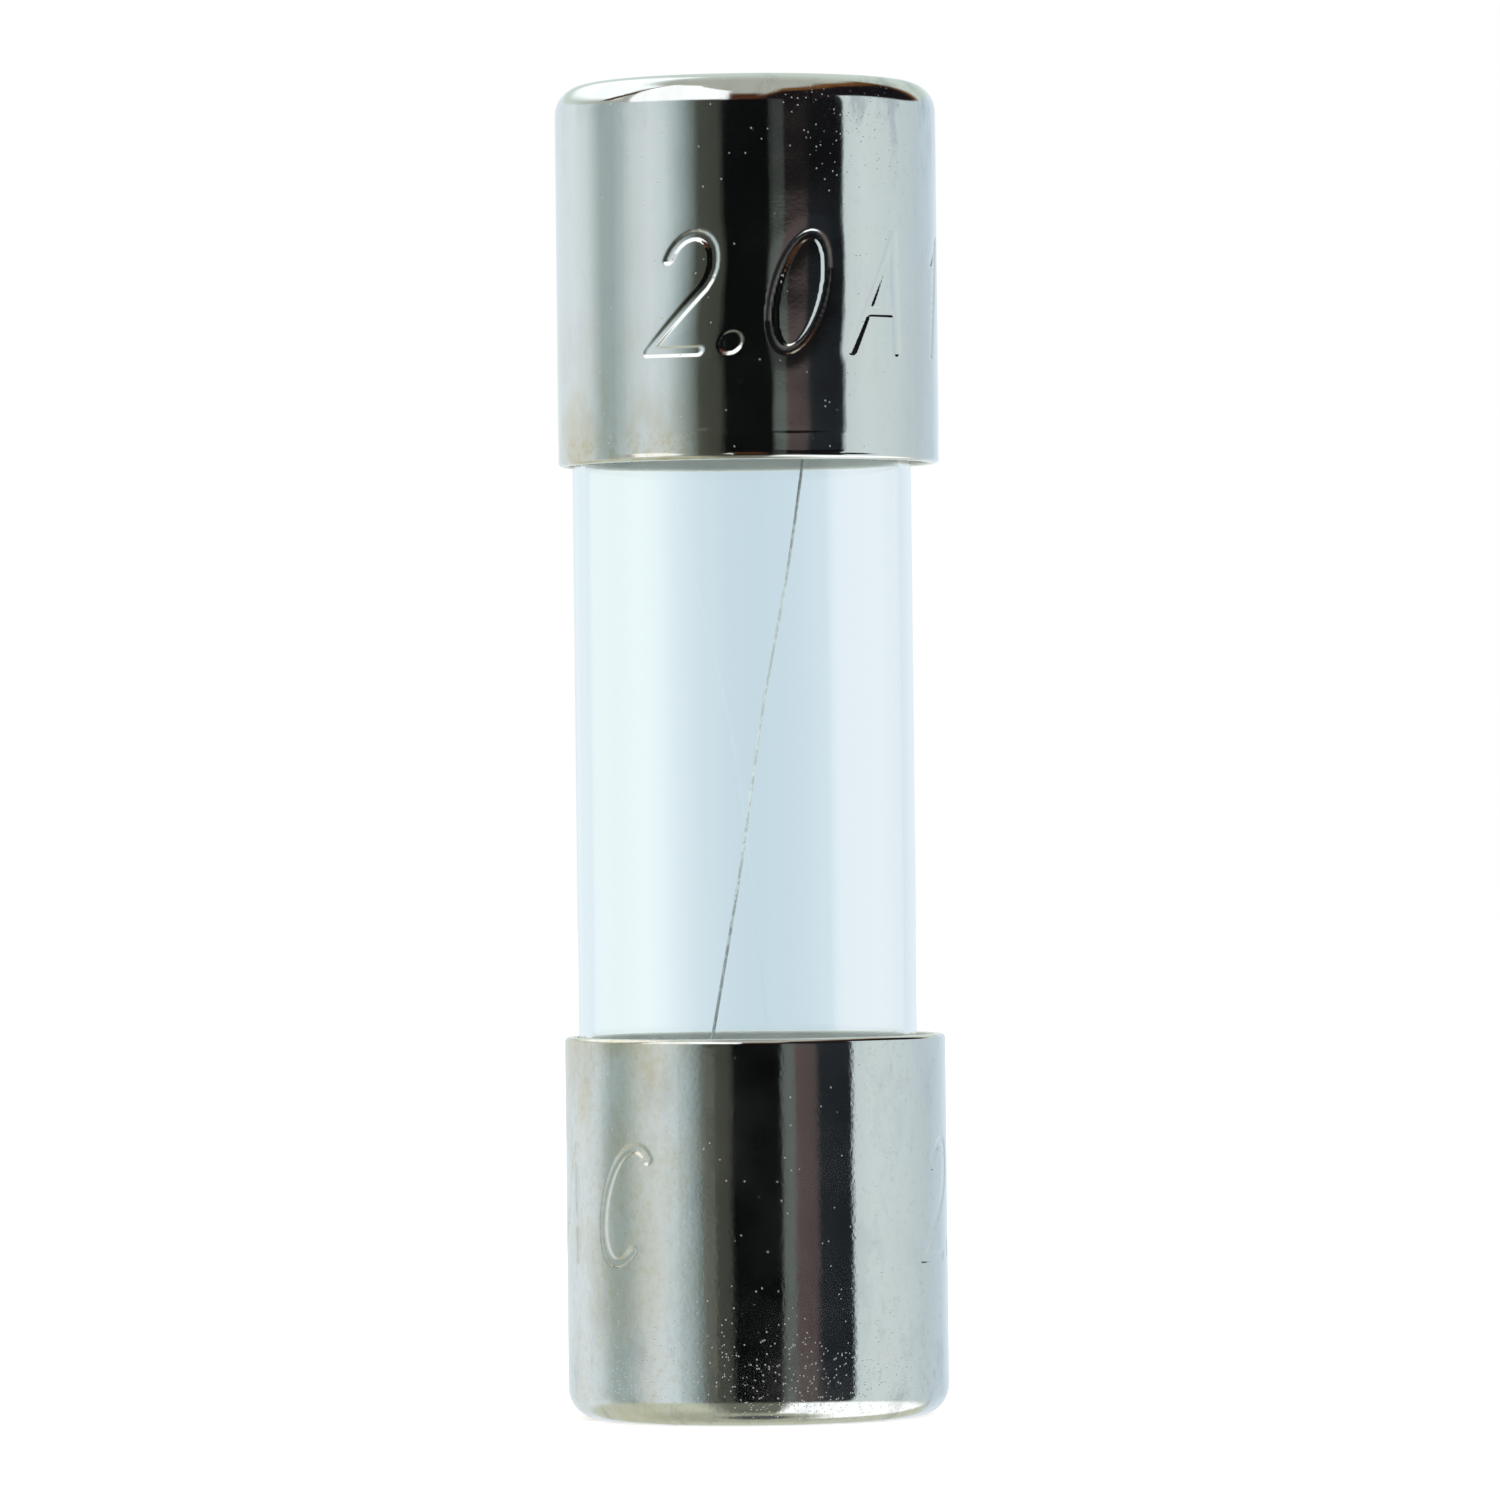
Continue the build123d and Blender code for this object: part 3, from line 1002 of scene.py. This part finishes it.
class BuildWire(bpy.types.Operator):
    """Build the fuse wire that is strung through the tube"""
    bl_idname = "fuse.build_wire"
    bl_label = "Fuse wire"

    def execute(self, context):
        wire = context.scene.fuse_wire
        mesh = wire_mesh("wire_strung", wire, context.scene.fuse_glass)
        place_piece("wire_strung", mesh, wire_metal(wire), "fuse_wire")
        return {"FINISHED"}


class BuildSolder(bpy.types.Operator):
    """Build the solder pools inside both caps"""
    bl_idname = "fuse.build_solder"
    bl_label = "Solder pools"

    def execute(self, context):
        scene = context.scene
        material = reflowed_solder(scene.fuse_solder)
        for end in ("upper", "lower"):
            name = f"{end}_solder_pool"
            mesh = solder_mesh(name, scene.fuse_caps, scene.fuse_glass, scene.fuse_solder, end == "upper")
            place_piece(name, mesh, material, f"{end}_solder")
        return {"FINISHED"}


class BuildStage(bpy.types.Operator):
    """Build the pale floor, the studio light and the camera"""
    bl_idname = "fuse.build_stage"
    bl_label = "Floor, light and camera"

    def execute(self, context):
        stage = context.scene.fuse_stage
        mesh = floor_mesh(stage.floor_size)
        mesh.materials.append(pale_floor(stage))
        floor = add_object("floor", mesh)
        floor.visible_glossy = False
        floor.visible_transmission = False
        studio_world(stage)
        aim_camera(stage)
        context.scene.view_settings.view_transform = "Standard"
        context.scene.cycles.use_denoising = True
        context.scene.cycles.max_bounces = 24
        context.scene.cycles.transmission_bounces = 24
        context.scene.cycles.glossy_bounces = 12
        return {"FINISHED"}


OPERATORS = (BuildCaps, BuildTube, BuildWire, BuildSolder, BuildStage)


class FusePanel(bpy.types.Panel):
    """The fuse's pieces, each with its settings"""
    bl_idname = "VIEW3D_PT_fuse"
    bl_label = "Glass cartridge fuse"
    bl_space_type = "VIEW_3D"
    bl_region_type = "UI"
    bl_category = "Fuse"

    def draw(self, context):
        for operator in OPERATORS:
            self.layout.operator(operator.bl_idname)
        for name, group in SETTINGS.items():
            box = self.layout.box()
            for setting in group.__annotations__:
                box.prop(getattr(context.scene, name), setting)


def register():
    for group in (*SETTINGS.values(), *OPERATORS, FusePanel):
        bpy.utils.register_class(group)
    for name, group in SETTINGS.items():
        setattr(bpy.types.Scene, name, PointerProperty(type=group))


def unregister():
    for name in SETTINGS:
        delattr(bpy.types.Scene, name)
    for group in (FusePanel, *reversed(OPERATORS), *SETTINGS.values()):
        bpy.utils.unregister_class(group)


def main():
    """Registers the add-on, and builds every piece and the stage."""
    register()
    bpy.ops.fuse.build_stage()
    bpy.ops.fuse.build_caps()
    bpy.ops.fuse.build_tube()
    bpy.ops.fuse.build_wire()
    bpy.ops.fuse.build_solder()


if __name__ == "__main__":
    main()
